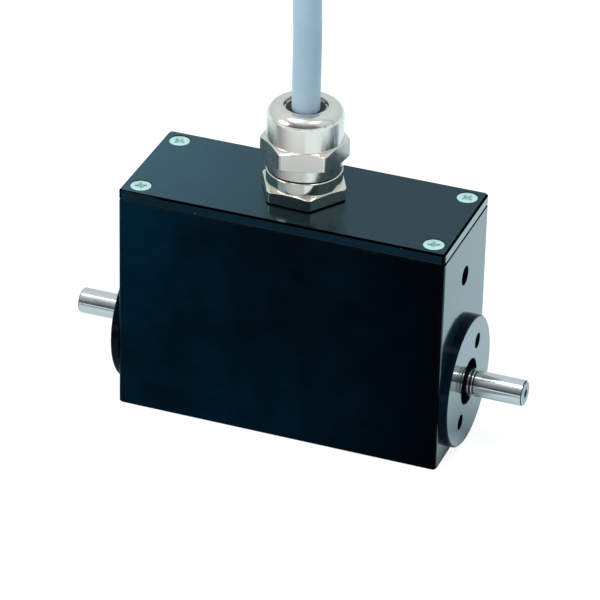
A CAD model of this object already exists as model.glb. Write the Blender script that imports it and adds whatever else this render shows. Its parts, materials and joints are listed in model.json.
"""Rotary torque sensor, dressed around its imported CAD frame.

The housing, its lid, the end covers, the measuring shaft, the cable gland and the long lead each
have a class that makes their pieces and gives them their finishes. Everything is in metres, in
the frame of the CAD: X along the shaft, Y away from the camera, Z up from the base.
"""

import json
import logging
import math
from dataclasses import dataclass
from enum import Enum
from typing import Any, Callable, Sequence

import bmesh
import bpy
from mathutils import Matrix, Vector


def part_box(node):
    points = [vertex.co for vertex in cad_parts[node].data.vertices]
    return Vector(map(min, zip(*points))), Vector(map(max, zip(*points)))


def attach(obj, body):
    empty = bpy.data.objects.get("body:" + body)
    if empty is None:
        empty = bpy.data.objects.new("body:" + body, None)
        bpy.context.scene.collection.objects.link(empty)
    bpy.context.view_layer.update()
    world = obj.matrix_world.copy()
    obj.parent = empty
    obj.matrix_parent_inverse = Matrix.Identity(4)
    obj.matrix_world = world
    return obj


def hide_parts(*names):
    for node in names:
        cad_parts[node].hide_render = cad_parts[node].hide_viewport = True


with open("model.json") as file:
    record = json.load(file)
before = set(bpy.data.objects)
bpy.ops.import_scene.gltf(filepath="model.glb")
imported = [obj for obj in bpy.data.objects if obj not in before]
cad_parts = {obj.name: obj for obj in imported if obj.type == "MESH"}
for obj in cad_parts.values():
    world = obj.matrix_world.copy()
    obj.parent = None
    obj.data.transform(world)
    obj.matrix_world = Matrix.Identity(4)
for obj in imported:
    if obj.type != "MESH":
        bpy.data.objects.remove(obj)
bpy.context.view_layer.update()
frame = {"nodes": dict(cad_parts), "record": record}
LOG = logging.getLogger("torque_sensor")
MM = 0.001
AXIS_HEIGHT = 18 * MM
BODY_OF = {
    node: body
    for body, nodes in frame["record"]["behaviour"]["bodies"].items()
    for node in nodes
}

Colour = tuple[float, float, float]
Span = tuple[float, float]
Point = tuple[float, float, float]
Socket = bpy.types.NodeSocket
BLACK: Colour = (0.0, 0.0, 0.0)
WHITE: Colour = (1.0, 1.0, 1.0)
SOOT: Colour = (0.01, 0.01, 0.012)


class Side(Enum):
    """The two ends of the housing along the shaft."""

    LEFT = -1
    RIGHT = 1

    @property
    def word(self) -> str:
        """Name of the side as the CAD nodes write it."""
        return self.name.lower()


class Axis(Enum):
    """The line round which a turned piece was made: its direction and a point on it."""

    SHAFT = ((1.0, 0.0, 0.0), (0.0, 0.0, AXIS_HEIGHT))
    UPRIGHT = ((0.0, 0.0, 1.0), (0.0, 0.0, 0.0))

    @property
    def direction(self) -> Point:
        """Unit vector along the axis."""
        return self.value[0]

    @property
    def centre(self) -> Point:
        """A point on the axis, in metres."""
        return self.value[1]


class Graph:
    """Adds nodes to one node tree and links them."""

    def __init__(self, tree: bpy.types.NodeTree) -> None:
        """Starts on an empty tree.

        Args:
            tree: The node tree to fill.
        """
        self.tree = tree
        tree.nodes.clear()

    def add(self, kind: str, inputs: dict | None = None, **settings: Any) -> bpy.types.Node:
        """Adds one node.

        Args:
            kind: Blender's name of the node type.
            inputs: Values or sockets for its inputs, by name or number.
            settings: Properties of the node itself.

        Returns:
            The new node.
        """
        node = self.tree.nodes.new(kind)
        for name, value in settings.items():
            setattr(node, name, value)
        for key, value in (inputs or {}).items():
            self.feed(node.inputs[key], value)
        return node

    def feed(self, socket: Socket, value: Any) -> None:
        """Links a socket to another, or writes a constant on it.

        Args:
            socket: The input to feed.
            value: A socket or a constant.
        """
        if isinstance(value, bpy.types.NodeSocket):
            self.tree.links.new(value, socket)
        elif value is not None:
            socket.default_value = value

    def math(self, operation: str, first: Any, second: Any = 0.5, clamp: bool = False) -> Socket:
        """Adds a Math node.

        Args:
            operation: Name of the sum to make.
            first: First number or socket.
            second: Second number or socket.
            clamp: Whether the result is kept from 0 to 1.

        Returns:
            The result's socket.
        """
        node = self.add("ShaderNodeMath", {0: first, 1: second}, operation=operation)
        node.use_clamp = clamp
        return node.outputs[0]

    def vector(self, operation: str, first: Any, second: Any = None, out: int = 0) -> Socket:
        """Adds a Vector Math node.

        Args:
            operation: Name of the sum to make.
            first: First vector or socket.
            second: Second vector or socket.
            out: Number of the output wanted: 0 a vector, 1 a value.

        Returns:
            The result's socket.
        """
        node = self.add("ShaderNodeVectorMath", {0: first, 1: second}, operation=operation)
        return node.outputs[out]

    def split(self, vector: Socket) -> Any:
        """Takes a vector apart.

        Args:
            vector: The vector.

        Returns:
            The sockets of its three numbers.
        """
        return self.add("ShaderNodeSeparateXYZ", {0: vector}).outputs

    def spread(
        self, value: Any, low: float, high: float, to_low: float = 0.0, to_high: float = 1.0
    ) -> Socket:
        """Maps a range of numbers to another, clamped at its ends.

        Args:
            value: The number to map.
            low: Where the range starts.
            high: Where the range ends.
            to_low: Result at the start.
            to_high: Result at the end.

        Returns:
            The mapped number's socket.
        """
        ends = {0: value, 1: low, 2: high, 3: to_low, 4: to_high}
        return self.add("ShaderNodeMapRange", ends).outputs[0]

    def mix(self, share: Any, first: Any, second: Any) -> Socket:
        """Mixes two colours.

        Args:
            share: How much of the second shows, from 0 to 1.
            first: Colour or socket.
            second: Colour or socket.

        Returns:
            The mixed colour's socket.
        """
        node = self.add("ShaderNodeMix", {0: share}, data_type="RGBA")
        for key, colour in ((6, first), (7, second)):
            self.feed(node.inputs[key], (*colour, 1.0) if isinstance(colour, tuple) else colour)
        return node.outputs[2]

    def noise(self, where: Socket, scale: Any, detail: float = 2.0, rough: float = 0.5) -> Socket:
        """Adds a Noise Texture.

        Args:
            where: The coordinates.
            scale: Cells per metre.
            detail: Number of finer layers.
            rough: Weight of the finer layers.

        Returns:
            The noise value's socket.
        """
        inputs = {"Vector": where, "Scale": scale, "Detail": detail, "Roughness": rough}
        return self.add("ShaderNodeTexNoise", inputs).outputs[0]


SOCKETS = {"vector": "NodeSocketVector", "value": "NodeSocketFloat", "whole": "NodeSocketInt"}


class Effect:
    """A shader node group that several finishes share, built once."""

    def __init__(
        self,
        name: str,
        inputs: dict[str, str],
        build: Callable[[Graph, dict[str, Socket]], Socket],
    ) -> None:
        """Builds the group.

        Args:
            name: Name of the group.
            inputs: Name of each input with its kind, vector or value.
            build: Fills the group and returns the value that it puts out.
        """
        self.tree = bpy.data.node_groups.new(name, "ShaderNodeTree")
        for label, kind in inputs.items():
            self.tree.interface.new_socket(label, in_out="INPUT", socket_type=SOCKETS[kind])
        self.tree.interface.new_socket("Value", in_out="OUTPUT", socket_type=SOCKETS["value"])
        graph = Graph(self.tree)
        source = graph.add("NodeGroupInput")
        sockets = {label: source.outputs[label] for label in inputs}
        graph.add("NodeGroupOutput", {"Value": build(graph, sockets)})

    def place(self, graph: Graph, **inputs: Any) -> Socket:
        """Puts the group into a material.

        Args:
            graph: The material's graph.
            inputs: Values for the group's inputs.

        Returns:
            The socket of its value.
        """
        node = graph.add("ShaderNodeGroup", node_tree=self.tree)
        for label, value in inputs.items():
            graph.feed(node.inputs[label], value)
        return node.outputs[0]


def build_smudges(g: Graph, s: dict[str, Socket]) -> Socket:
    """Soft patches, as hands and cloths leave them.

    Args:
        g: Graph of the group.
        s: Its input sockets.

    Returns:
        A value from 0 to 1.
    """
    wide = g.noise(s["Vector"], s["Scale"], 3.0, 0.55)
    fine = g.noise(s["Vector"], g.math("MULTIPLY", s["Scale"], 7.0), 2.0)
    both = g.math("ADD", g.math("MULTIPLY", wide, 0.75), g.math("MULTIPLY", fine, 0.25))
    return g.spread(both, 0.36, 0.64)


def build_scratches(g: Graph, s: dict[str, Socket]) -> Socket:
    """Thin straight scratches in two directions, with gaps along them.

    Args:
        g: Graph of the group.
        s: Its input sockets.

    Returns:
        A mask from 0 to 1.
    """
    masks = []
    for turn in ((0.4, 0.3, 0.5), (-0.2, 0.5, -0.9)):
        stretched = g.add(
            "ShaderNodeMapping",
            {"Vector": s["Vector"], "Rotation": turn, "Scale": (1.0, 42.0, 42.0)},
        ).outputs[0]
        lines = g.noise(stretched, s["Scale"], 1.0)
        masks.append(g.spread(lines, 0.7, 0.74))
    gaps = g.spread(g.noise(s["Vector"], 160.0), 0.48, 0.56)
    both = g.math("MAXIMUM", masks[0], masks[1])
    return g.math("MULTIPLY", g.math("MULTIPLY", both, gaps), s["Amount"])


def build_specks(g: Graph, s: dict[str, Socket]) -> Socket:
    """Scattered small dots, such as dust or nicks in a plated face.

    Args:
        g: Graph of the group.
        s: Its input sockets.

    Returns:
        A mask from 0 to 1.
    """
    cells = g.add("ShaderNodeTexVoronoi", {"Vector": s["Vector"], "Scale": s["Scale"]})
    lucky = g.add("ShaderNodeSeparateColor", {0: cells.outputs["Color"]}).outputs[0]
    reach = g.math("MULTIPLY", g.spread(lucky, 0.8, 1.0), s["Size"])
    inside = g.math("SUBTRACT", reach, cells.outputs["Distance"])
    return g.spread(inside, 0.0, 0.03)


def build_box_edges(g: Graph, s: dict[str, Socket]) -> Socket:
    """Worn lines along the edges of an upright box, broken up unevenly.

    Args:
        g: Graph of the group.
        s: Its input sockets.

    Returns:
        A mask from 0 to 1.
    """
    below = g.vector("SUBTRACT", s["Vector"], s["Low"])
    above = g.vector("SUBTRACT", s["High"], s["Vector"])
    near = g.split(g.vector("MINIMUM", below, above))
    least = g.math("MINIMUM", near[0], near[1])
    most = g.math("MAXIMUM", near[0], near[1])
    second = g.math("MAXIMUM", least, g.math("MINIMUM", most, near[2]))
    uneven = g.spread(g.noise(s["Vector"], 420.0, 3.0, 0.7), 0.35, 0.7, 0.1, 1.0)
    reach = g.math("MULTIPLY", uneven, s["Width"])
    return g.math("DIVIDE", g.math("SUBTRACT", reach, second), s["Width"], clamp=True)


def build_turned_rings(g: Graph, s: dict[str, Socket]) -> Socket:
    """Fine rings round an axis, as a lathe tool or a grinding wheel leaves them.

    Args:
        g: Graph of the group.
        s: Its input sockets.

    Returns:
        A value from 0 to 1.
    """
    from_centre = g.vector("SUBTRACT", s["Vector"], s["Centre"])
    along = g.vector("DOT_PRODUCT", from_centre, s["Direction"], out=1)
    foot = g.add("ShaderNodeVectorMath", {0: s["Direction"], 3: along}, operation="SCALE").outputs[0]
    radius = g.vector("LENGTH", g.vector("SUBTRACT", from_centre, foot), out=1)
    run = g.math("ADD", along, g.math("MULTIPLY", radius, 1.31))
    where = g.math("MULTIPLY", run, s["Scale"])
    lines = g.add("ShaderNodeTexNoise", {"W": where, "Scale": 1.0, "Detail": 4.0}, noise_dimensions="1D")
    return lines.outputs[0]


SMUDGES = Effect("smudges", {"Vector": "vector", "Scale": "value"}, build_smudges)
SCRATCHES = Effect(
    "scratches", {"Vector": "vector", "Scale": "value", "Amount": "value"}, build_scratches
)
SPECKS = Effect("specks", {"Vector": "vector", "Scale": "value", "Size": "value"}, build_specks)
BOX_EDGES = Effect(
    "box_edges",
    {"Vector": "vector", "Low": "vector", "High": "vector", "Width": "value"},
    build_box_edges,
)
TURNED_RINGS = Effect(
    "turned_rings",
    {"Vector": "vector", "Centre": "vector", "Direction": "vector", "Scale": "value"},
    build_turned_rings,
)


@dataclass(frozen=True)
class Finish:
    """A finish: its name, colour, roughness and the record's slot, where that has another name."""

    name: str
    colour: Colour
    roughness: float
    slot: str = ""

    def material(self) -> bpy.types.Material:
        """Gives the material, built the first time that it is asked for.

        Returns:
            The material of this finish.
        """
        name = f"{self.name}_finish"
        found = bpy.data.materials.get(name)
        if found:
            return found
        made = bpy.data.materials.new(name)
        made.use_nodes = True
        made.diffuse_color = (*self.colour, 1.0)
        graph = Graph(made.node_tree)
        shader = graph.add("ShaderNodeBsdfPrincipled")
        graph.feed(shader.inputs["Base Color"], (*self.colour, 1.0))
        graph.feed(shader.inputs["Roughness"], self.roughness)
        graph.add("ShaderNodeOutputMaterial", {"Surface": shader.outputs[0]})
        where = graph.add("ShaderNodeTexCoord").outputs["Object"]
        self.dress(graph, shader.inputs, where)
        return made

    def dress(self, g: Graph, shader: Any, where: Socket) -> None:
        """Adds what shows on the surface. Each kind of finish has its own.

        Args:
            g: Graph of the material.
            shader: Inputs of its Principled BSDF.
            where: Object coordinates.
        """
        raise NotImplementedError

    def bump(self, g: Graph, shader: Any, height: Socket, depth: float, strength: float = 1.0) -> None:
        """Feeds a height to the shader's normal.

        Args:
            g: Graph of the material.
            shader: Inputs of its Principled BSDF.
            height: Height from 0 to 1.
            depth: What a height of 1 stands for, in metres.
            strength: Share of the effect.
        """
        inputs = {"Height": height, "Distance": depth, "Strength": strength}
        g.feed(shader["Normal"], g.add("ShaderNodeBump", inputs).outputs[0])


@dataclass(frozen=True)
class Anodised(Finish):
    """Dark dyed aluminium, with milled faces, faint marks and worn or shaded edges.

    The ends were milled finer than the long sides and shine more. The dye can fade to black along
    the shaft, on the sides and on the top by different shares.
    """

    low: Point = (0.0, 0.0, 0.0)
    high: Point = (0.0, 0.0, 0.0)
    worn: Colour = (0.2, 0.3, 0.34)
    wear_width: float = 0.4 * MM
    wear: float = 0.25
    edge_shade: float = 0.0
    marks: float = 0.0
    end_metal: float = 0.08
    end_tint: Colour = (0.003, 0.028, 0.04)
    top_metal: float = 0.0
    top_tint: Colour = (0.1, 0.1, 0.1)
    fade: float = 0.0
    top_fade: float = 0.0
    fade_to: float = 45 * MM
    blotch: float = 2.2
    blotch_scale: float = 22.0
    ior: float = 1.2
    coat_ior: float = 1.9
    coat_roughness: float = 0.1
    cut_depth: float = 0.0025 * MM

    def dress(self, g: Graph, shader: Any, where: Socket) -> None:
        """Adds wear, scratches, specks and milling marks.

        Args:
            g: Graph of the material.
            shader: Inputs of its Principled BSDF.
            where: Object coordinates.
        """
        edges = BOX_EDGES.place(g, Vector=where, Low=self.low, High=self.high, Width=self.wear_width)
        lines = SCRATCHES.place(g, Vector=where, Scale=26.0, Amount=self.marks)
        dots = SPECKS.place(g, Vector=where, Scale=600.0, Size=0.24)
        bare = g.math("MAXIMUM", g.math("MULTIPLY", edges, self.wear), g.math("MULTIPLY", dots, self.marks))
        bare = g.math("MAXIMUM", bare, g.math("MULTIPLY", lines, 0.5))
        facing = g.split(g.add("ShaderNodeTexCoord").outputs["Normal"])
        across, level = (g.math("ABSOLUTE", facing[number], 0.0) for number in (0, 1))
        ends = g.spread(across, 0.8, 0.95)
        tops = g.spread(facing[2], 0.8, 0.95)
        level = g.math("MAXIMUM", level, g.math("ABSOLUTE", facing[2], 0.0))
        shaded = g.spread(g.math("MAXIMUM", across, level), 0.99, 0.93, 0.0, self.edge_shade)
        patches = SMUDGES.place(g, Vector=where, Scale=self.blotch_scale)
        run = g.split(where)[0]
        tones = []
        for colour, deep, pale, fade in (
            (self.colour, 1 / self.blotch, self.blotch, self.fade),
            (self.top_tint, 0.88, 1.0, self.top_fade),
        ):
            tone = g.mix(patches, tuple(c * deep for c in colour), tuple(c * pale for c in colour))
            tones.append(g.mix(g.spread(run, self.low[0], self.fade_to, 0.0, fade), tone, BLACK))
        sheer = g.math("MULTIPLY", tops, self.top_metal)
        dyed = g.mix(ends, g.mix(sheer, *tones), self.end_tint)
        g.feed(shader["Base Color"], g.mix(bare, g.mix(shaded, dyed, BLACK), self.worn))
        g.feed(shader["Specular IOR Level"], g.spread(shaded, 0.0, 1.0, 0.5, 0.0))
        sheen = g.math("MAXIMUM", g.math("MULTIPLY", ends, self.end_metal), sheer)
        g.feed(shader["Metallic"], g.math("MAXIMUM", g.math("MULTIPLY", bare, 0.8), sheen))
        milled = g.add("ShaderNodeMapping", {"Vector": where, "Scale": (2400.0, 500.0, 240.0)}).outputs[0]
        cuts = g.noise(milled, 1.0, 3.0, 0.6)
        rough = g.math("ADD", g.spread(patches, 0.0, 1.0, -0.02, 0.04), self.roughness)
        rough = g.math("ADD", rough, g.spread(cuts, 0.3, 0.7, -0.02, 0.02))
        g.feed(shader["Roughness"], rough)
        g.feed(shader["IOR"], self.ior)
        g.feed(shader["Coat Weight"], ends)
        g.feed(shader["Coat Roughness"], self.coat_roughness)
        g.feed(shader["Coat IOR"], self.coat_ior)
        self.bump(g, shader, cuts, self.cut_depth)


@dataclass(frozen=True)
class TurnedMetal(Finish):
    """Bare or plated metal with turning rings, smudges, small scratches and nicks."""

    axis: Axis = Axis.SHAFT
    ring_scale: float = 5200.0
    ring_depth: float = 0.004 * MM
    shade: float = 0.12
    scratch: float = 0.25
    dull: Colour = (0.3, 0.31, 0.32)
    grooves: tuple[Span, ...] = ()
    pit_r: float = 0.0
    end_shade: float = 0.0

    def shadow(self, g: Graph, where: Socket) -> Socket:
        """Finds the turned grooves, the centre hole and the sawn look of the end faces.

        Args:
            g: Graph of the material.
            where: Object coordinates.

        Returns:
            A mask from 0 to 1 of how dark the metal is there.
        """
        place = g.split(where)
        along = g.math("ABSOLUTE", place[0], 0.0)
        normal = g.add("ShaderNodeTexCoord").outputs["Normal"]
        facing = g.math("ABSOLUTE", g.split(normal)[0], 0.0)
        mask = g.math("MULTIPLY", g.spread(facing, 0.9, 0.98), self.end_shade)
        for middle, width in self.grooves:
            off = g.math("ABSOLUTE", g.math("SUBTRACT", along, middle), 0.0)
            mask = g.math("MAXIMUM", mask, g.spread(off, width * 0.3, width * 0.6, 0.93, 0.0))
        high = g.math("SUBTRACT", place[2], AXIS_HEIGHT)
        flat = g.add("ShaderNodeCombineXYZ", {1: place[1], 2: high}).outputs[0]
        from_axis = g.vector("LENGTH", flat, out=1)
        pit = g.spread(from_axis, self.pit_r * 0.9, self.pit_r, 0.97, 0.0)
        return g.math("MAXIMUM", mask, pit)

    def dress(self, g: Graph, shader: Any, where: Socket) -> None:
        """Adds rings, smudges and scratches.

        Args:
            g: Graph of the material.
            shader: Inputs of its Principled BSDF.
            where: Object coordinates.
        """
        rings = TURNED_RINGS.place(
            g,
            Vector=where,
            Centre=self.axis.centre,
            Direction=self.axis.direction,
            Scale=self.ring_scale,
        )
        patches = SMUDGES.place(g, Vector=where, Scale=90.0)
        lines = SCRATCHES.place(g, Vector=where, Scale=34.0, Amount=self.scratch)
        dots = SPECKS.place(g, Vector=where, Scale=520.0, Size=0.22)
        marked = g.math("MAXIMUM", lines, g.math("MULTIPLY", dots, 0.6))
        tone = g.math("MULTIPLY", g.math("ADD", rings, patches), self.shade)
        base = g.mix(marked, g.mix(tone, self.colour, self.dull), self.dull)
        if self.grooves:
            base = g.mix(self.shadow(g, where), base, SOOT)
        g.feed(shader["Base Color"], base)
        g.feed(shader["Metallic"], 1.0)
        uneven = g.spread(patches, 0.0, 1.0, 0.75, 1.4)
        uneven = g.math("MULTIPLY", uneven, g.spread(rings, 0.3, 0.7, 0.8, 1.2))
        rough = g.math("MULTIPLY", uneven, self.roughness)
        g.feed(shader["Roughness"], g.math("ADD", rough, g.math("MULTIPLY", marked, 0.2)))
        self.bump(g, shader, rings, self.ring_depth)


@dataclass(frozen=True)
class Moulded(Finish):
    """Plastic or rubber with a fine moulded grain, faint blotches and dust."""

    grain: float = 2600.0
    grain_depth: float = 0.02 * MM
    mottle: float = 0.35
    dust: float = 0.15
    ior: float = 1.48

    def dress(self, g: Graph, shader: Any, where: Socket) -> None:
        """Adds grain, blotches and dust.

        Args:
            g: Graph of the material.
            shader: Inputs of its Principled BSDF.
            where: Object coordinates.
        """
        patches = SMUDGES.place(g, Vector=where, Scale=55.0)
        pores = g.noise(where, self.grain, 3.0, 0.6)
        dots = SPECKS.place(g, Vector=where, Scale=700.0, Size=0.2)
        pale = tuple(min(1.0, c * 1.12 + 0.01) for c in self.colour)
        deep = tuple(c * (1.0 - self.mottle) for c in self.colour)
        tone = g.mix(g.math("MULTIPLY", patches, 0.6), pale, deep)
        tone = g.mix(g.math("MULTIPLY", dots, self.dust), tone, (0.6, 0.6, 0.58))
        g.feed(shader["Base Color"], g.mix(g.spread(pores, 0.3, 0.7, 0.0, 0.25), tone, deep))
        least, most = self.roughness - 0.05, self.roughness + 0.07
        g.feed(shader["Roughness"], g.spread(patches, 0.0, 1.0, least, most))
        g.feed(shader["IOR"], self.ior)
        self.bump(g, shader, pores, self.grain_depth, 0.6)


@dataclass(frozen=True)
class Laminate(Finish):
    """Circuit board: solder resist over copper tracks, with plated pads at their ends."""

    track: Colour = (0.02, 0.19, 0.08)
    pad: Colour = (0.78, 0.7, 0.5)

    def dress(self, g: Graph, shader: Any, where: Socket) -> None:
        """Adds tracks and pads.

        Args:
            g: Graph of the material.
            shader: Inputs of its Principled BSDF.
            where: Object coordinates.
        """
        inputs = {"Vector": where, "Scale": 210.0, "Randomness": 0.55}
        cells = g.add("ShaderNodeTexVoronoi", inputs, distance="MANHATTAN")
        wide = g.math("MODULO", g.math("MULTIPLY", cells.outputs["Distance"], 5.0), 1.0)
        track = g.spread(wide, 0.5, 0.56)
        pads = g.spread(cells.outputs["Distance"], 0.09, 0.1, 1.0, 0.0)
        base = g.mix(track, self.colour, self.track)
        g.feed(shader["Base Color"], g.mix(pads, base, self.pad))
        g.feed(shader["Metallic"], pads)
        g.feed(shader["Roughness"], g.spread(track, 0.0, 1.0, self.roughness + 0.05, self.roughness - 0.05))
        self.bump(g, shader, g.math("MAXIMUM", track, pads), 0.03 * MM)


@dataclass(frozen=True)
class Sintered(Finish):
    """Pressed iron with fine pores."""

    def dress(self, g: Graph, shader: Any, where: Socket) -> None:
        """Adds pores and a dull metallic tone.

        Args:
            g: Graph of the material.
            shader: Inputs of its Principled BSDF.
            where: Object coordinates.
        """
        pores = g.noise(where, 5200.0, 4.0, 0.7)
        pits = g.spread(pores, 0.38, 0.5)
        g.feed(shader["Base Color"], g.mix(pits, tuple(c * 0.35 for c in self.colour), self.colour))
        g.feed(shader["Metallic"], 0.7)
        g.feed(shader["Roughness"], g.spread(pits, 0.0, 1.0, self.roughness + 0.2, self.roughness))
        self.bump(g, shader, pits, 0.03 * MM)


LOW, HIGH = (tuple(corner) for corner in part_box("housing"))
LID_LOW, LID_HIGH = (tuple(corner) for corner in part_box("lid"))
HOUSING_DYE = Anodised(
    "housing_dye",
    (0.0003, 0.0125, 0.025),
    0.24,
    slot="dark_anodised",
    low=LOW,
    high=HIGH,
    ior=1.08,
    blotch=1.7,
    fade=0.93,
    wear=0.14,
)
LID_DYE = Anodised(
    "lid_dye",
    (0.0004, 0.0155, 0.029),
    0.17,
    slot="dark_anodised",
    low=LID_LOW,
    high=LID_HIGH,
    wear=0.0,
    edge_shade=1.0,
    marks=0.12,
    cut_depth=0.001 * MM,
    blotch=1.25,
    blotch_scale=34.0,
    ior=1.2,
    top_metal=0.95,
    top_tint=(0.044, 0.115, 0.152),
    top_fade=0.55,
    fade_to=3 * MM,
)
COVER_DYE = {
    side: Anodised(
        f"cover_dye_{side.word}",
        (0.0004, 0.004, 0.009),
        0.1,
        slot="dark_anodised",
        low=tuple(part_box(f"bearing_cover_{side.word}")[0]),
        high=tuple(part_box(f"bearing_cover_{side.word}")[1]),
        wear=0.0,
        ior=1.15,
    )
    for side in Side
}
BLACK_RUBBER = Moulded("black_rubber", (0.003, 0.004, 0.006), 0.6, dust=0.1)
SCREW_ZINC = TurnedMetal(
    "screw_zinc",
    (0.75, 0.95, 0.9),
    0.32,
    slot="zinc_steel",
    axis=Axis.UPRIGHT,
    ring_scale=9000.0,
    shade=0.05,
)
SPRING_STEEL = TurnedMetal("spring_steel", (0.5, 0.52, 0.55), 0.32)
GROUND_STEEL = TurnedMetal(
    "ground_steel",
    (0.69, 0.66, 0.65),
    0.13,
    shade=0.06,
    ring_depth=0.0004 * MM,
    grooves=((48.55 * MM, 0.5 * MM), (49.4 * MM, 0.36 * MM), (62.8 * MM, 0.3 * MM)),
    pit_r=1.45 * MM,
    end_shade=0.6,
)
BEARING_STEEL = TurnedMetal("bearing_steel", (0.66, 0.68, 0.7), 0.12, shade=0.06)
GAUGE_FOIL = Moulded("gauge_foil", (0.62, 0.36, 0.09), 0.3, grain=1800.0)
BOARD_LAMINATE = Laminate("board_laminate", (0.012, 0.13, 0.05), 0.3)
CHIP_RESIN = Moulded("chip_resin", (0.018, 0.018, 0.02), 0.55, grain=6000.0)
SPACER_ALUMINIUM = TurnedMetal("spacer_aluminium", (0.62, 0.64, 0.66), 0.28)
RED_INSULATION = Moulded("red_insulation", (0.5, 0.03, 0.02), 0.35)
PLAIN_BRASS = TurnedMetal(
    "plain_brass", (0.71, 0.52, 0.23), 0.25, dull=(0.35, 0.22, 0.08)
)
CAPACITOR_SLEEVE = Moulded("capacitor_sleeve", (0.02, 0.025, 0.11), 0.3)
GREEN_PLASTIC = Moulded("green_plastic", (0.015, 0.2, 0.07), 0.42)
CAP_NICKEL, BODY_NICKEL = (
    TurnedMetal(
        name,
        colour,
        roughness,
        slot="nickelled_brass",
        axis=Axis.UPRIGHT,
        shade=0.05,
        ring_scale=3600.0,
        ring_depth=depth,
        scratch=0.4,
    )
    for name, colour, roughness, depth in (
        ("cap_nickel", (0.84, 0.73, 0.66), 0.2, 0.001 * MM),
        ("body_nickel", (0.8, 0.71, 0.62), 0.1, 0.0008 * MM),
    )
)
PALE_PLASTIC = Moulded("pale_plastic", (0.55, 0.56, 0.5), 0.45)
SHEATH = Moulded("cable_sheath", (0.5, 0.63, 0.74), 0.42, mottle=0.06, grain=1900.0)
BLACK_PLASTIC = Moulded("black_plastic", (0.015, 0.015, 0.017), 0.4)
TINNED_COPPER = TurnedMetal("tinned_copper", (0.63, 0.64, 0.66), 0.25)
SOFT_IRON = Sintered("soft_iron", (0.2, 0.2, 0.22), 0.45)
COPPER_WIRE = TurnedMetal(
    "copper_wire", (0.66, 0.27, 0.11), 0.22, ring_scale=2400.0, dull=(0.3, 0.08, 0.03)
)


class Core(Enum):
    """Colours of the insulated cores in the cable, in their order."""

    BROWN = (0.16, 0.055, 0.02)
    WHITE = (0.75, 0.75, 0.72)
    BLUE = (0.03, 0.12, 0.5)
    BLACK = (0.02, 0.02, 0.022)
    GREY = (0.3, 0.31, 0.32)

    @property
    def finish(self) -> Finish:
        """Finish of the insulation in this colour."""
        return Moulded(f"core_{self.name.lower()}", self.value, 0.35, slot="core_insulation")


def settle(piece: bpy.types.Object) -> None:
    """Turns a piece's modifiers into plain mesh.

    Args:
        piece: The object, whose modifiers are removed.
    """
    depsgraph = bpy.context.evaluated_depsgraph_get()
    mesh = bpy.data.meshes.new_from_object(piece.evaluated_get(depsgraph), depsgraph=depsgraph)
    piece.modifiers.clear()
    piece.data = mesh


def stand(name: str, data: bpy.types.ID) -> bpy.types.Object:
    """Makes an object and links it into the scene.

    Args:
        name: Name of the object.
        data: Its mesh, curve, lamp or camera data.

    Returns:
        The object, at the origin.
    """
    piece = bpy.data.objects.new(name, data)
    bpy.context.scene.collection.objects.link(piece)
    return piece


def shade(piece: bpy.types.Object, degrees: float) -> None:
    """Smooths a mesh, with sharp edges kept where faces meet at more than an angle.

    Args:
        piece: The object.
        degrees: The angle.
    """
    piece.data.shade_smooth()
    piece.data.set_sharp_from_angle(angle=math.radians(degrees))


def hand_over(piece: bpy.types.Object, finish: Finish, body: str, *nodes: str) -> bpy.types.Object:
    """Gives a finished piece its material, its body and the CAD nodes that it stands for.

    Args:
        piece: The finished piece.
        finish: Its finish.
        body: Body that it moves with.
        nodes: CAD nodes that it replaces.

    Returns:
        The same piece.
    """
    if not piece.data.materials:
        piece.data.materials.append(finish.material())
    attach(piece, body)
    if nodes:
        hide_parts(*nodes)
    finish.slot or finish.name
    LOG.info("%s rides on %s", piece.name, body)
    return piece


def refined(node: str, finish: Finish, bevel: float = 0.0, degrees: float = 32.0) -> bpy.types.Object:
    """Makes a smooth copy of a CAD node, with its sharp edges lightly broken.

    Args:
        node: Name of the node, which the copy replaces.
        finish: Finish of the copy.
        bevel: Width of the broken edges in metres, or 0 for none.
        degrees: Faces that meet at more than this keep a sharp edge.

    Returns:
        The copy.
    """
    mesh = frame["nodes"][node].data.copy()
    mesh.materials.clear()
    work = bmesh.new()
    work.from_mesh(mesh)
    bmesh.ops.remove_doubles(work, verts=work.verts, dist=1e-6)
    bmesh.ops.dissolve_limit(
        work, angle_limit=math.radians(0.4), verts=work.verts, edges=work.edges
    )
    work.to_mesh(mesh)
    work.free()
    piece = stand(f"{node}_dressed", mesh)
    if bevel:
        rounded = piece.modifiers.new("broken_edges", "BEVEL")
        rounded.width = bevel
        rounded.segments = 2
        rounded.limit_method = "ANGLE"
        rounded.angle_limit = math.radians(degrees)
        settle(piece)
    shade(piece, degrees if not bevel else 50.0)
    even = piece.modifiers.new("even_normals", "WEIGHTED_NORMAL")
    even.keep_sharp = True
    settle(piece)
    return hand_over(piece, finish, BODY_OF[node], node)


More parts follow.
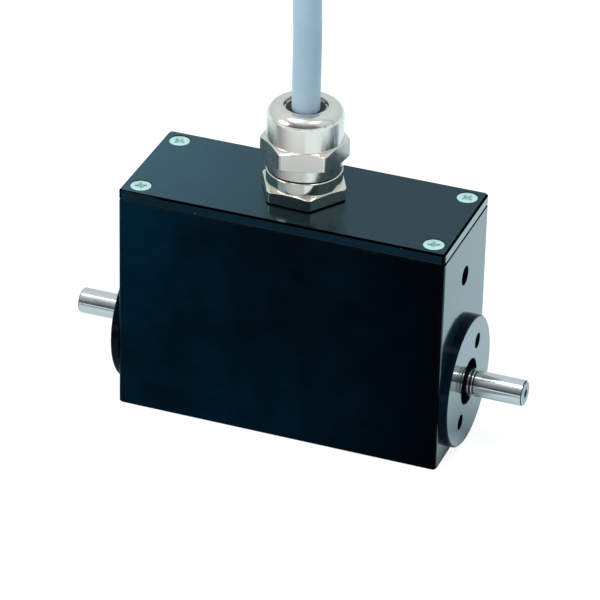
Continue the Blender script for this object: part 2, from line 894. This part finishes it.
def coloured(node: str, finishes: Sequence[Finish], across: int) -> bpy.types.Object:
    """Makes a smooth copy of a CAD node in which each separate strand has its own finish.

    Args:
        node: Name of the node.
        finishes: The finishes, in the strands' order.
        across: Number of the coordinate in which the strands are ordered.

    Returns:
        The copy.
    """
    piece = refined(node, finishes[0])
    mesh = piece.data
    for finish in finishes[1:]:
        mesh.materials.append(finish.material())
    parent = list(range(len(mesh.vertices)))

    def root(spot: int) -> int:
        """Follows a vertex to the first one of its strand.

        Args:
            spot: Number of the vertex.

        Returns:
            Number of the strand's first vertex.
        """
        while parent[spot] != spot:
            spot = parent[spot]
        return spot

    for edge in mesh.edges:
        first, second = (root(spot) for spot in edge.vertices)
        parent[max(first, second)] = min(first, second)
    places: dict[int, list[float]] = {}
    for vertex in mesh.vertices:
        places.setdefault(root(vertex.index), []).append(vertex.co[across])
    ordered = sorted(places, key=lambda key: sum(places[key]) / len(places[key]))
    for face in mesh.polygons:
        face.material_index = ordered.index(root(face.vertices[0])) % len(finishes)
    return piece


def poured(name: str, work: bmesh.types.BMesh) -> bpy.types.Mesh:
    """Turns a work mesh into a finished one, with its faces outwards.

    Args:
        name: Name of the mesh.
        work: The work mesh, which is freed.

    Returns:
        The mesh.
    """
    bmesh.ops.recalc_face_normals(work, faces=work.faces)
    mesh = bpy.data.meshes.new(name)
    work.to_mesh(mesh)
    work.free()
    return mesh


def prism(name: str, outline: Sequence[Span], width: float) -> bpy.types.Mesh:
    """Makes a straight piece from an outline in X and Z, centred on Y.

    Args:
        name: Name of the mesh.
        outline: Corners of the outline in millimetres, in order.
        width: Its width along Y in millimetres.

    Returns:
        The closed mesh.
    """
    work = bmesh.new()
    rings = [
        [work.verts.new((x * MM, y * MM, z * MM)) for x, z in outline]
        for y in (-width / 2, width / 2)
    ]
    close_rings(work, rings)
    return poured(name, work)


def close_rings(work: bmesh.types.BMesh, rings: Sequence[Sequence[Any]], looped: bool = False) -> None:
    """Fills the faces between rings of vertices, and the two ends unless they are looped.

    Args:
        work: The mesh that the vertices are in.
        rings: The rings, each with the same number of vertices.
        looped: Whether the last ring joins the first.
    """
    following = [*rings[1:], rings[0]] if looped else rings[1:]
    for ring, after in zip(rings, following):
        for i, corner in enumerate(ring):
            j = (i + 1) % len(ring)
            work.faces.new((corner, after[i], after[j], ring[j]))
    if not looped:
        work.faces.new(rings[0])
        work.faces.new(list(reversed(rings[-1])))


def joined(name: str, *meshes: bpy.types.Mesh) -> bpy.types.Mesh:
    """Puts several meshes into one.

    Args:
        name: Name of the new mesh.
        meshes: The meshes.

    Returns:
        The new mesh.
    """
    work = bmesh.new()
    for mesh in meshes:
        work.from_mesh(mesh)
    return poured(name, work)


def turned_mesh(name: str, profile: Sequence[Span], steps: int) -> bpy.types.Mesh:
    """Turns a profile round Z into a closed mesh.

    Args:
        name: Name of the mesh.
        profile: Radius and height of each point, in millimetres, from radius 0 to radius 0.
        steps: Number of steps round the axis.

    Returns:
        The mesh.
    """
    work = bmesh.new()
    points = [work.verts.new((radius * MM, 0.0, height * MM)) for radius, height in profile]
    edges = [work.edges.new(pair) for pair in zip(points, points[1:])]
    bmesh.ops.spin(
        work,
        geom=points + edges,
        cent=(0.0, 0.0, 0.0),
        axis=(0.0, 0.0, 1.0),
        angle=math.tau,
        steps=steps,
        use_merge=True,
    )
    bmesh.ops.remove_doubles(work, verts=work.verts, dist=1e-7)
    return poured(name, work)


class GeometryTree:
    """A Geometry Nodes tree with named inputs, which ends in real mesh and a material."""

    def __init__(
        self,
        name: str,
        inputs: dict[str, str],
        build: Callable[[Graph, dict[str, Socket]], Socket],
    ) -> None:
        """Builds the tree.

        Args:
            name: Name of the tree.
            inputs: Name of each size with its kind: vector, value or whole.
            build: Fills the tree and returns the geometry that it makes.
        """
        self.tree = bpy.data.node_groups.new(name, "GeometryNodeTree")
        sockets = {"Geometry": "NodeSocketGeometry"}
        sockets.update({label: SOCKETS[kind] for label, kind in inputs.items()})
        sockets["Material"] = "NodeSocketMaterial"
        self.keys = {
            label: self.tree.interface.new_socket(label, in_out="INPUT", socket_type=kind).identifier
            for label, kind in sockets.items()
        }
        self.tree.interface.new_socket(
            "Geometry", in_out="OUTPUT", socket_type="NodeSocketGeometry"
        )
        graph = Graph(self.tree)
        source = graph.add("NodeGroupInput")
        made = build(graph, {label: source.outputs[label] for label in sockets})
        real = graph.add("GeometryNodeRealizeInstances", {0: made}).outputs[0]
        painted = graph.add("GeometryNodeSetMaterial", {0: real, "Material": source.outputs["Material"]})
        graph.add("NodeGroupOutput", {0: painted.outputs[0]})

    def run(self, piece: bpy.types.Object, finish: Finish, **sizes: Any) -> None:
        """Runs the tree on a piece and turns the result into plain mesh.

        Args:
            piece: Object whose mesh the tree starts from.
            finish: Finish that it sets.
            sizes: Values of its inputs.
        """
        modifier = piece.modifiers.new(self.tree.name, "NODES")
        modifier.node_group = self.tree
        modifier[self.keys["Material"]] = finish.material()
        for label, value in sizes.items():
            modifier[self.keys[label]] = value
        settle(piece)


def build_corner_copies(g: Graph, s: dict[str, Socket]) -> Socket:
    """Copies of a piece at the four corners of a rectangle.

    Args:
        g: Graph of the tree.
        s: Its input sockets.

    Returns:
        The copies.
    """
    inputs = {"Size X": s["Length"], "Size Y": s["Width"], "Vertices X": 2, "Vertices Y": 2}
    grid = g.add("GeometryNodeMeshGrid", inputs).outputs[0]
    number = g.add("GeometryNodeInputIndex").outputs[0]
    turn = g.add("ShaderNodeCombineXYZ", {2: g.math("MULTIPLY", number, s["Turn"])}).outputs[0]
    inputs = {"Points": grid, "Instance": s["Geometry"], "Rotation": turn}
    return g.add("GeometryNodeInstanceOnPoints", inputs).outputs[0]


def build_ring_copies(g: Graph, s: dict[str, Socket]) -> Socket:
    """Copies of a piece turned evenly round the upright axis.

    Args:
        g: Graph of the tree.
        s: Its input sockets.

    Returns:
        The copies.
    """
    line = g.add("GeometryNodeMeshLine", {"Count": s["Count"], "Offset": (0.0, 0.0, 0.0)}).outputs[0]
    number = g.add("GeometryNodeInputIndex").outputs[0]
    step = g.math("DIVIDE", math.tau, s["Count"])
    turn = g.add("ShaderNodeCombineXYZ", {2: g.math("MULTIPLY", number, step)}).outputs[0]
    inputs = {"Points": line, "Instance": s["Geometry"], "Rotation": turn}
    return g.add("GeometryNodeInstanceOnPoints", inputs).outputs[0]


def build_row_copies(g: Graph, s: dict[str, Socket]) -> Socket:
    """Copies of a piece in an even row.

    Args:
        g: Graph of the tree.
        s: Its input sockets.

    Returns:
        The copies.
    """
    line = g.add("GeometryNodeMeshLine", {"Count": s["Count"], "Offset": s["Step"]}).outputs[0]
    return g.add("GeometryNodeInstanceOnPoints", {"Points": line, "Instance": s["Geometry"]}).outputs[0]


def build_thread(g: Graph, s: dict[str, Socket]) -> Socket:
    """The ridge of a screw thread, swept along a helix round the upright axis.

    Args:
        g: Graph of the tree.
        s: Its input sockets.

    Returns:
        The ridge.
    """
    inputs = {
        "Resolution": 36,
        "Rotations": s["Turns"],
        "Start Radius": s["Radius"],
        "End Radius": s["Radius"],
        "Height": g.math("MULTIPLY", s["Turns"], s["Pitch"]),
    }
    helix = g.add("GeometryNodeCurveSpiral", inputs).outputs[0]
    outline = g.add("GeometryNodeCurvePrimitiveCircle", {"Resolution": 4, "Radius": s["Depth"]})
    inputs = {"Curve": helix, "Profile Curve": outline.outputs[0], "Fill Caps": True}
    return g.add("GeometryNodeCurveToMesh", inputs).outputs[0]


CORNER_COPIES = GeometryTree(
    "corner_copies", {"Length": "value", "Width": "value", "Turn": "value"}, build_corner_copies
)
RING_COPIES = GeometryTree("ring_copies", {"Count": "whole"}, build_ring_copies)
ROW_COPIES = GeometryTree("row_copies", {"Count": "whole", "Step": "vector"}, build_row_copies)
THREAD = GeometryTree(
    "thread", {"Turns": "value", "Radius": "value", "Pitch": "value", "Depth": "value"}, build_thread
)


@dataclass(frozen=True)
class TappedThread:
    """An inside thread along the shaft's direction: the hole's radius, pitch and length in metres."""

    radius: float
    pitch: float
    length: float

    def cut(self, node: str, name: str, finish: Finish, mouth: Point, side: Side) -> None:
        """Makes the ridge of the thread in one hole.

        Args:
            node: Name of the CAD node that has the hole.
            name: Name of the piece.
            finish: Finish of the metal round the hole.
            mouth: Where the thread starts.
            side: The end of the housing that the hole is in.
        """
        piece = stand(name, bpy.data.meshes.new(name))
        turns, depth = self.length / self.pitch, self.pitch * 0.16
        THREAD.run(piece, finish, Turns=turns, Radius=self.radius, Pitch=self.pitch, Depth=depth)
        turn = Matrix.Rotation(math.radians(-90 * side.value), 4, "Y")
        piece.data.transform(Matrix.Translation(mouth) @ turn)
        shade(piece, 30.0)
        hand_over(piece, finish, BODY_OF[node], node)


@dataclass
class Studio:
    """Camera, floor, white surroundings and soft lamps."""

    azimuth: float = 19.93
    elevation: float = 30.41
    roll: float = 1.38
    distance: float = 1075.2 * MM
    shift_right: float = -0.34 * MM
    shift_up: float = 27.67 * MM
    lens: float = 240.0
    floor_size: float = 6.0
    floor_shine: float = 0.86
    floor_colour: Colour = (0.3, 0.3, 0.3)
    room_low: float = 0.8
    room_high: float = 0.95
    wall_low: float = 0.06
    wall_high: float = 0.42
    ambient: float = 0.75
    room_tint: Colour = (0.78, 0.95, 1.0)
    floor_tint: Colour = (0.68, 0.93, 1.0)
    aim: Point = (0.0, 0.0, 0.04)
    near_y: Span = (-0.1, -0.2)
    behind_y: Span = (-0.01, 0.03)
    right_x: Span = (0.043, 0.062)
    flange_x: Span = (0.044, 0.05)
    flange_y: Span = (0.012, -0.004)
    left_x: Span = (-0.045, -0.055)
    left_y: Span = (-0.07, -0.05)
    rise_span: Span = (0.15, 0.75)
    wall_ahead: Span = (-0.35, -0.6)
    wall_foot: Span = (0.0, 0.06)
    wall_top: Span = (0.66, 0.84)
    wall_span: Span = (0.12, 0.64)

    def camera(self) -> None:
        """Sets the camera at the photograph's angle."""
        az, el, roll = (math.radians(a) for a in (self.azimuth, self.elevation, self.roll))
        back = Vector((math.sin(az) * math.cos(el), -math.cos(az) * math.cos(el), math.sin(el)))
        right = Vector((math.cos(az), math.sin(az), 0.0))
        up = back.cross(right)
        eye = right * self.shift_right + up * self.shift_up + back * self.distance
        across = right * math.cos(roll) + up * math.sin(roll)
        upright = up * math.cos(roll) - right * math.sin(roll)
        data = bpy.data.cameras.new("camera")
        data.lens = self.lens
        data.sensor_width = 36.0
        data.clip_end = 30.0
        camera = stand("camera", data)
        turn = Matrix((across, upright, back)).transposed().to_4x4()
        camera.matrix_world = Matrix.Translation(eye) @ turn
        bpy.context.scene.camera = camera

    def floor(self) -> None:
        """Lays the pale floor, which shows white, keeps the object's shadow and mirrors in parts."""
        half = self.floor_size / 2
        mesh = bpy.data.meshes.new("floor")
        corners = [(-half, -half, 0), (half, -half, 0), (half, half, 0), (-half, half, 0)]
        mesh.from_pydata(corners, [], [(0, 1, 2, 3)])
        floor = stand("floor", mesh)
        floor.location.z = -0.05 * MM
        material = bpy.data.materials.new("pale_floor")
        material.use_nodes = True
        g = Graph(material.node_tree)
        path = g.add("ShaderNodeLightPath").outputs
        where = g.add("ShaderNodeTexCoord").outputs["Object"]
        across = g.split(where)
        near = g.spread(across[1], *self.near_y)
        behind = g.spread(across[1], *self.behind_y)
        right = g.spread(across[0], *self.right_x)
        under = g.spread(across[1], *self.flange_y, 0.0, 0.8)
        under = g.math("MULTIPLY", g.spread(across[0], *self.flange_x), under)
        left = g.spread(across[0], *self.left_x, 0.0, 0.8)
        left = g.math("MULTIPLY", left, g.spread(across[1], *self.left_y))
        zone = near
        for part in (behind, right, under, left):
            zone = g.math("MAXIMUM", zone, part)
        seen = g.math("ADD", path["Is Camera Ray"], path["Is Transmission Ray"])
        mirrored = g.math("MULTIPLY", path["Is Glossy Ray"], zone)
        strength = g.math("MULTIPLY", g.math("ADD", seen, mirrored), self.floor_shine)
        tint = g.mix(near, self.floor_tint, self.room_tint)
        colour = g.mix(path["Is Glossy Ray"], WHITE, tint)
        shine = g.add("ShaderNodeEmission", {"Color": colour, "Strength": strength})
        matt = g.add("ShaderNodeBsdfDiffuse", {"Color": (*self.floor_colour, 1)})
        both = g.add("ShaderNodeAddShader", {0: shine.outputs[0], 1: matt.outputs[0]})
        g.add("ShaderNodeOutputMaterial", {"Surface": both.outputs[0]})
        mesh.materials.append(material)

    def surroundings(self) -> None:
        """Makes the surroundings: white to the camera, a soft pale room to everything else."""
        world = bpy.data.worlds.new("surroundings")
        world.use_nodes = True
        bpy.context.scene.world = world
        g = Graph(world.node_tree)
        path = g.add("ShaderNodeLightPath").outputs
        direction = g.add("ShaderNodeTexCoord").outputs["Generated"]
        height = g.split(direction)
        rise = g.spread(height[2], *self.rise_span, self.room_low, self.room_high)
        front = g.spread(height[1], *self.wall_ahead)
        fade = g.spread(height[2], *self.wall_top, 1.0, 0.0)
        dark = g.math("MULTIPLY", g.spread(height[2], *self.wall_foot), fade)
        wall = g.spread(height[2], *self.wall_span, self.wall_low, self.wall_high)
        share = g.math("MULTIPLY", front, dark)
        kept = g.math("SUBTRACT", 1.0, share)
        room = g.math("ADD", g.math("MULTIPLY", rise, kept), g.math("MULTIPLY", wall, share))
        seen = g.math("MAXIMUM", path["Is Camera Ray"], path["Is Transmission Ray"])
        for_gloss = g.math("MULTIPLY", path["Is Glossy Ray"], room)
        plain = g.math("MULTIPLY", path["Is Diffuse Ray"], self.ambient)
        strength = g.math("ADD", g.math("MAXIMUM", seen, for_gloss), plain)
        tint = g.mix(seen, self.room_tint, WHITE)
        backdrop = g.add("ShaderNodeBackground", {"Color": tint, "Strength": strength})
        g.add("ShaderNodeOutputWorld", {"Surface": backdrop.outputs[0]})

    def lamp(self, name: str, place: Point, size: float, power: float) -> None:
        """Hangs one square soft lamp, which shines at the middle of the object.

        Args:
            name: Name of the lamp.
            place: Where it hangs.
            size: Side of its face.
            power: Its power in watts.
        """
        data = bpy.data.lights.new(name, "AREA")
        data.size = size
        data.energy = power
        lamp = stand(name, data)
        lamp.location = place
        lamp.rotation_euler = (Vector(self.aim) - Vector(place)).to_track_quat("-Z", "Y").to_euler()

    def build(self) -> None:
        """Sets up everything round the object."""
        self.camera()
        self.floor()
        self.surroundings()
        self.lamp("key_lamp", (-0.2, -0.16, 0.87), 0.3, 1.7)
        self.lamp("side_lamp", (0.37, -0.16, 0.87), 0.22, 1.0)
        self.lamp("fill_lamp", (-0.8, -0.7, 0.5), 0.5, 3.0)
        bpy.context.scene.view_settings.view_transform = "Standard"


@dataclass
class Lead:
    """The cable from the gland to its coil, with ties, open leads and ferrules."""

    diameter: float = 7.5
    length: float = 1470.0
    coil_centre: tuple[float, float] = (125.0, 52.0)
    outer_r: float = 42.5
    inner_r: float = 35.0
    rows: tuple[float, float, float] = (19.5, 12.0, 4.5)
    turned: float = 1620.0
    route: tuple[Point, ...] = (
        (0, 0, 57), (0, 0, 75), (0, 0, 92), (0, 0, 110), (0, 0, 126),
        (3, 1, 143), (12, 3, 157), (26, 6, 166.5), (41, 9.5, 170),
        (56.5, 13, 166.5), (70.5, 16, 157), (79.5, 18, 143), (82.5, 19, 126),
        (82.5, 19, 108), (82.5, 19, 90), (82.5, 19, 70), (82.5, 19, 52),
        (82.5, 21.5, 39), (82.5, 28, 28.5), (82.5, 38, 22), (82.5, 49, 19.5),
    )
    tail: tuple[Point, ...] = ((167.5, 43, 4.5), (167.5, 34, 4.5), (167.5, 25, 4.5))
    tie_turn: float = 45.0
    tie_w: float = 3.6
    tie_t: float = 0.75
    tie_inside: tuple[float, float, float, float] = (31.15, 46.35, 0.75, 23.35)
    tie_corner_r: float = 3.6
    tie_head: tuple[float, float] = (5.0, 4.4)
    tail_steps: int = 8
    lead_length: float = 22.0
    lead_fan: float = 3.2
    ferrule_r: float = 1.3

    def coil_points(self) -> list[Point]:
        """Points of the coil, from where the cable lies down on it to where it leaves.

        Returns:
            Points in millimetres.
        """

        def eased(angle: float, start: float, before: float, after: float) -> float:
            """Finds a value that changes smoothly over 60 degrees.

            Args:
                angle: How far the coil has turned.
                start: Where the change starts.
                before: Value up to there.
                after: Value 60 degrees later.

            Returns:
                The value.
            """
            t = min(max((angle - start) / 60.0, 0.0), 1.0)
            return before + (after - before) * t * t * (3 - 2 * t)

        top, middle, low = self.rows
        points = []
        for angle in range(0, int(self.turned) + 1, 15):
            height = eased(angle, 300, top, middle) + eased(angle, 990, 0.0, low - middle)
            radius = eased(angle, 645, self.outer_r, self.inner_r)
            radius += eased(angle, 1335, 0.0, self.outer_r - self.inner_r)
            turn = math.radians(180 - angle)
            x = self.coil_centre[0] + radius * math.cos(turn)
            y = self.coil_centre[1] + radius * math.sin(turn)
            points.append((x, y, height))
        return points

    def cable(self, *with_pieces: bpy.types.Object) -> None:
        """Args:
            with_pieces: The pieces that lie on it.
        """
        points = [*self.route, *self.coil_points(), *self.tail]
        curve = bpy.data.curves.new("sheathed_cable", "CURVE")
        curve.dimensions = "3D"
        curve.bevel_depth = self.diameter / 2 * MM
        curve.bevel_resolution = 5
        curve.resolution_u = 5
        curve.use_fill_caps = True
        spline = curve.splines.new("BEZIER")
        spline.bezier_points.add(len(points) - 1)
        for knot, point in zip(spline.bezier_points, points):
            knot.co = Vector(point) * MM
            knot.handle_left_type = knot.handle_right_type = "AUTO"
        cable = stand("sheathed_cable", curve)
        hand_over(cable, SHEATH, "housing", "cable", "cable_coil", "cable_tail")

    def strap(self) -> bpy.types.Mesh:
        """Makes the closed strap of one tie round the coil, with a hollow along its outer face.

        Returns:
            The mesh, with the coil's centre at the origin.
        """
        left, right, low, high = self.tie_inside
        r, t, half = self.tie_corner_r, self.tie_t, self.tie_w / 2
        corners = (
            (right - r, high - r, 0),
            (left + r, high - r, 90),
            (left + r, low + r, 180),
            (right - r, low + r, 270),
        )
        work = bmesh.new()
        rings = []
        for x, z, start in corners:
            for step in range(7):
                angle = math.radians(start + 15 * step)
                out = (math.cos(angle), math.sin(angle))
                section = ((0, -half), (t, -half), (t, -half * 0.6), (t - 0.15, -half * 0.5))
                section += ((t - 0.15, half * 0.5), (t, half * 0.6), (t, half), (0, half))
                rings.append([
                    work.verts.new(((x + (r + h) * out[0]) * MM, y * MM, (z + (r + h) * out[1]) * MM))
                    for h, y in section
                ])
        close_rings(work, rings, looped=True)
        return poured("strap", work)

    def ties(self) -> bpy.types.Object:
        """Makes the two cable ties: straps, heads and toothed tails.

        Returns:
            The piece.
        """
        side, middle = self.tie_inside[1], (self.tie_inside[3] + self.tie_t) / 2
        deep, wide = self.tie_head
        half = deep / 2
        head = [(0.1, -half), (4.0, -half), (5.0, -1.3), (5.0, 1.1), (3.9, half), (0.1, half)]
        head = prism("head", [(side + x, middle + z) for x, z in head], wide)
        low, high = half - 0.2, half + 6.0
        tail = [(2.3, low), (3.2, low), (3.2, high - 0.4), (2.9, high), (2.3, high)]
        tail = prism("tail", [(side + x, middle + z) for x, z in tail], self.tie_w * 0.9)
        tooth = [(3.15, half + 0.3), (3.45, half + 0.35), (3.15, half + 0.75)]
        tooth = prism("tooth", [(side + x, middle + z) for x, z in tooth], self.tie_w * 0.6)
        teeth = stand("teeth", tooth)
        ROW_COPIES.run(teeth, BLACK_PLASTIC, Count=self.tail_steps, Step=(0.0, 0.0, 0.62 * MM))
        piece = stand("cable_ties_dressed", joined("ties", self.strap(), head, tail, teeth.data))
        bpy.data.objects.remove(teeth)
        softened = piece.modifiers.new("moulded_edges", "BEVEL")
        softened.width = 0.12 * MM
        softened.segments = 2
        softened.limit_method = "ANGLE"
        settle(piece)
        RING_COPIES.run(piece, BLACK_PLASTIC, Count=2)
        turn = Matrix.Rotation(math.radians(self.tie_turn), 4, "Z")
        x, y = self.coil_centre
        piece.data.transform(Matrix.Translation((x * MM, y * MM, 0.0)) @ turn)
        shade(piece, 40.0)
        return hand_over(piece, BLACK_PLASTIC, BODY_OF["cable_ties"], "cable_ties")

    def ferrules(self) -> bpy.types.Object:
        """Makes the crimped ferrules on the five open leads.

        Returns:
            The piece.
        """
        r = self.ferrule_r
        profile = [(0, 0.3), (0.78, 0.3), (0.95, 0), (1.25, 0), (r, 0.15), (r, 2.7)]
        profile += [(1.15, 3.2), (0.8, 3.9), (0.65, 4.1)]
        for start in (4.8, 6.0, 7.2, 8.4):
            profile += [(0.65, start), (0.56, start + 0.2), (0.56, start + 0.5), (0.65, start + 0.7)]
        profile += [(0.65, 9.8), (0.55, 10.0), (0.42, 10.0), (0.36, 9.7), (0, 9.7)]
        mesh = turned_mesh("ferrule", profile, 24)
        piece = stand("lead_ferrules_dressed", mesh)
        end = self.tail[-1]
        spot = Vector((end[0] - 2 * self.lead_fan, end[1] - self.lead_length, r)) * MM
        mesh.transform(Matrix.Translation(spot) @ Matrix.Rotation(math.radians(90), 4, "X"))
        ROW_COPIES.run(piece, TINNED_COPPER, Count=len(Core), Step=(self.lead_fan * MM, 0.0, 0.0))
        shade(piece, 35.0)
        return hand_over(piece, TINNED_COPPER, BODY_OF["lead_ferrules"], "lead_ferrules")

    def build(self) -> None:
        """Makes the cable and what lies on it."""
        leads = coloured("flying_leads", [core.finish for core in Core], 0)
        self.cable(self.ties(), leads, self.ferrules())


@dataclass
class HousingBlock:
    """The milled block with its gasket, lid and lid screws."""

    screw_inset: float = 4.6
    head_d: float = 5.6
    thread_d: float = 3.0
    head_rim: float = 0.3
    head_sink: float = 0.1
    cross_turn: float = 25.0
    cross_length: float = 3.3
    cross_w: float = 0.78
    cross_depth: float = 1.3
    star_share: float = 0.74
    star_w: float = 0.26
    end_hole_z: float = 49.6
    end_thread: TappedThread = TappedThread(2.54 * MM, 1.0 * MM, 6.0 * MM)

    def recess(
        self, length: float, width: float, depth: float, turn: float, top: float
    ) -> bpy.types.Object:
        """Makes the body of a cross recess, wider at the top.

        Args:
            length: Length of the arms at the top.
            width: Width of the arms.
            depth: Depth of the recess.
            turn: Turn round the upright axis in degrees.
            top: Height of the screw's top.

        Returns:
            A closed cross that cuts the recess.
        """
        work = bmesh.new()
        levels = []
        for height, share in ((top + 0.5, 1.0), (top, 1.0), (top - depth, 0.5)):
            reach, half = length / 2 * share, width / 2 * (0.6 + 0.4 * share)
            corners = [(reach, -half), (reach, half), (half, half)]
            ring = []
            for quarter in range(4):
                for x, y in corners:
                    spot = Vector((x, y, 0.0))
                    spot.rotate(Matrix.Rotation(math.radians(90 * quarter + turn), 3, "Z"))
                    ring.append(work.verts.new((spot.x * MM, spot.y * MM, height * MM)))
            levels.append(ring)
        close_rings(work, levels)
        return stand("recess", poured("recess", work))

    def screws(self) -> None:
        """Makes the four countersunk screws with their cross recesses."""
        head = LID_HIGH[2] / MM - self.head_sink
        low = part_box("lid_screws")[0][2] / MM
        r, shank = self.head_d / 2, self.thread_d / 2
        cone = r - shank
        profile = [
            (0, low), (shank - 0.25, low), (shank, low + 0.25),
            (shank, head - self.head_rim - cone), (r, head - self.head_rim),
            (r, head - 0.12), (r - 0.05, head - 0.035), (r - 0.14, head), (0, head),
        ]
        piece = stand("lid_screws_dressed", turned_mesh("screw", profile, 48))
        turn, star = self.cross_turn, self.cross_length * self.star_share
        cutters = [
            self.recess(self.cross_length, self.cross_w, self.cross_depth, turn, head),
            self.recess(star, self.star_w, self.cross_depth * 0.6, turn + 45.0, head),
        ]
        for cutter in cutters:
            cut = piece.modifiers.new("recess", "BOOLEAN")
            cut.object = cutter
            cut.solver = "EXACT"
            settle(piece)
        for cutter in cutters:
            bpy.data.objects.remove(cutter)
        shade(piece, 35.0)
        length = HIGH[0] - LOW[0] - 2 * self.screw_inset * MM
        width = HIGH[1] - LOW[1] - 2 * self.screw_inset * MM
        CORNER_COPIES.run(piece, SCREW_ZINC, Length=length, Width=width, Turn=0.7)
        hand_over(piece, SCREW_ZINC, "housing", "lid_screws")

    def build(self) -> None:
        """Makes the block, gasket, lid and screws."""
        refined("housing", HOUSING_DYE, 0.08 * MM)
        refined("lid", LID_DYE, 0.06 * MM)
        refined("lid_gasket", BLACK_RUBBER, 0.08 * MM)
        self.screws()
        for side in Side:
            mouth = (side.value * (HIGH[0] - 0.8 * MM), 0.0, self.end_hole_z * MM)
            self.end_thread.cut("housing", f"end_hole_thread_{side.word}", HOUSING_DYE, mouth, side)


@dataclass
class EndCover:
    """A flanged cover with its two tapped holes, and the bearing that it holds."""

    side: Side
    fixing_circle_d: float = 22.0
    fixing_turn: float = 33.0
    face_x: float = 47.4
    thread: TappedThread = TappedThread(2.13 * MM, 0.8 * MM, 5.6 * MM)

    def threads(self) -> None:
        """Makes the threads of the two tapped holes."""
        word = self.side.word
        angle = math.radians(self.fixing_turn)
        for number, way in enumerate((1, -1)):
            off_y = way * math.sin(angle) * self.fixing_circle_d / 2 * MM
            off_z = way * math.cos(angle) * self.fixing_circle_d / 2 * MM
            mouth = (self.side.value * (self.face_x - 0.3) * MM, off_y, AXIS_HEIGHT + off_z)
            name = f"fixing_thread_{word}_{number}"
            self.thread.cut(f"bearing_cover_{word}", name, COVER_DYE[self.side], mouth, self.side)

    def build(self) -> None:
        """Makes the cover, its threads and its bearing."""
        word = self.side.word
        self.threads()
        refined(f"bearing_cover_{word}", COVER_DYE[self.side], 0.07 * MM)
        for part, finish in (
            ("outer_ring", BEARING_STEEL),
            ("inner_ring", BEARING_STEEL),
            ("balls", BEARING_STEEL),
            ("cage", PLAIN_BRASS),
            ("shield", SPRING_STEEL),
        ):
            refined(f"bearing_{word}_{part}", finish)


@dataclass
class MeasuringShaft:
    """The shaft with its gauges, its turning board and chips."""

    def build(self) -> None:
        """Makes the shaft and what turns with it."""
        refined("shaft", GROUND_STEEL, 0.05 * MM)
        refined("strain_gauges", GAUGE_FOIL)
        refined("rotor_board", BOARD_LAMINATE, 0.05 * MM)
        refined("rotor_chips", CHIP_RESIN, 0.06 * MM)


@dataclass
class RingTransformer:
    """One pair of iron rings, fixed and turning, with their windings."""

    side: Side

    def build(self) -> None:
        """Makes the four rings."""
        word = self.side.word
        refined(f"rotor_core_{word}", SOFT_IRON)
        refined(f"stator_core_{word}", SOFT_IRON)
        refined(f"rotor_winding_{word}", COPPER_WIRE)
        refined(f"stator_winding_{word}", COPPER_WIRE)


@dataclass
class Electronics:
    """The board above the bore with what it carries, and the cores that come down to it."""

    def build(self) -> None:
        """Makes the board and its parts."""
        for node, finish, bevel in (
            ("circuit_board", BOARD_LAMINATE, 0.05),
            ("board_standoffs", PLAIN_BRASS, 0.05),
            ("board_screws", SCREW_ZINC, 0.05),
            ("board_chips", CHIP_RESIN, 0.05),
            ("board_capacitors", CAPACITOR_SLEEVE, 0.2),
            ("terminal_block", GREEN_PLASTIC, 0.15),
            ("terminal_screws", SCREW_ZINC, 0.04),
            ("stator_spacer", SPACER_ALUMINIUM, 0.1),
            ("stator_leads", RED_INSULATION, 0),
            ("wave_washers", SPRING_STEEL, 0),
        ):
            refined(node, finish, bevel * MM)
        coloured("cable_cores", [core.finish for core in Core], 1)


@dataclass
class Gland:
    """The cable gland: body, gaskets, locknut, claw and cap nut."""

    def build(self) -> None:
        """Makes the pieces of the gland."""
        for node, finish, bevel in (
            ("gland_body", BODY_NICKEL, 0.1),
            ("gland_gasket", BLACK_RUBBER, 0.08),
            ("gland_locknut", BODY_NICKEL, 0.1),
            ("gland_claw", PALE_PLASTIC, 0.12),
            ("gland_seal", BLACK_RUBBER, 0.1),
            ("gland_cap_nut", CAP_NICKEL, 0.12),
        ):
            refined(node, finish, bevel * MM)


def main() -> None:
    """Builds the scene in order, camera and cable first."""
    logging.basicConfig(level=logging.INFO, format="%(name)s: %(message)s")
    Studio().build()
    Lead().build()
    HousingBlock().build()
    for side in Side:
        EndCover(side).build()
        RingTransformer(side).build()
    MeasuringShaft().build()
    Electronics().build()
    Gland().build()
    LOG.info("scene is complete")


if __name__ == "__main__":
    main()
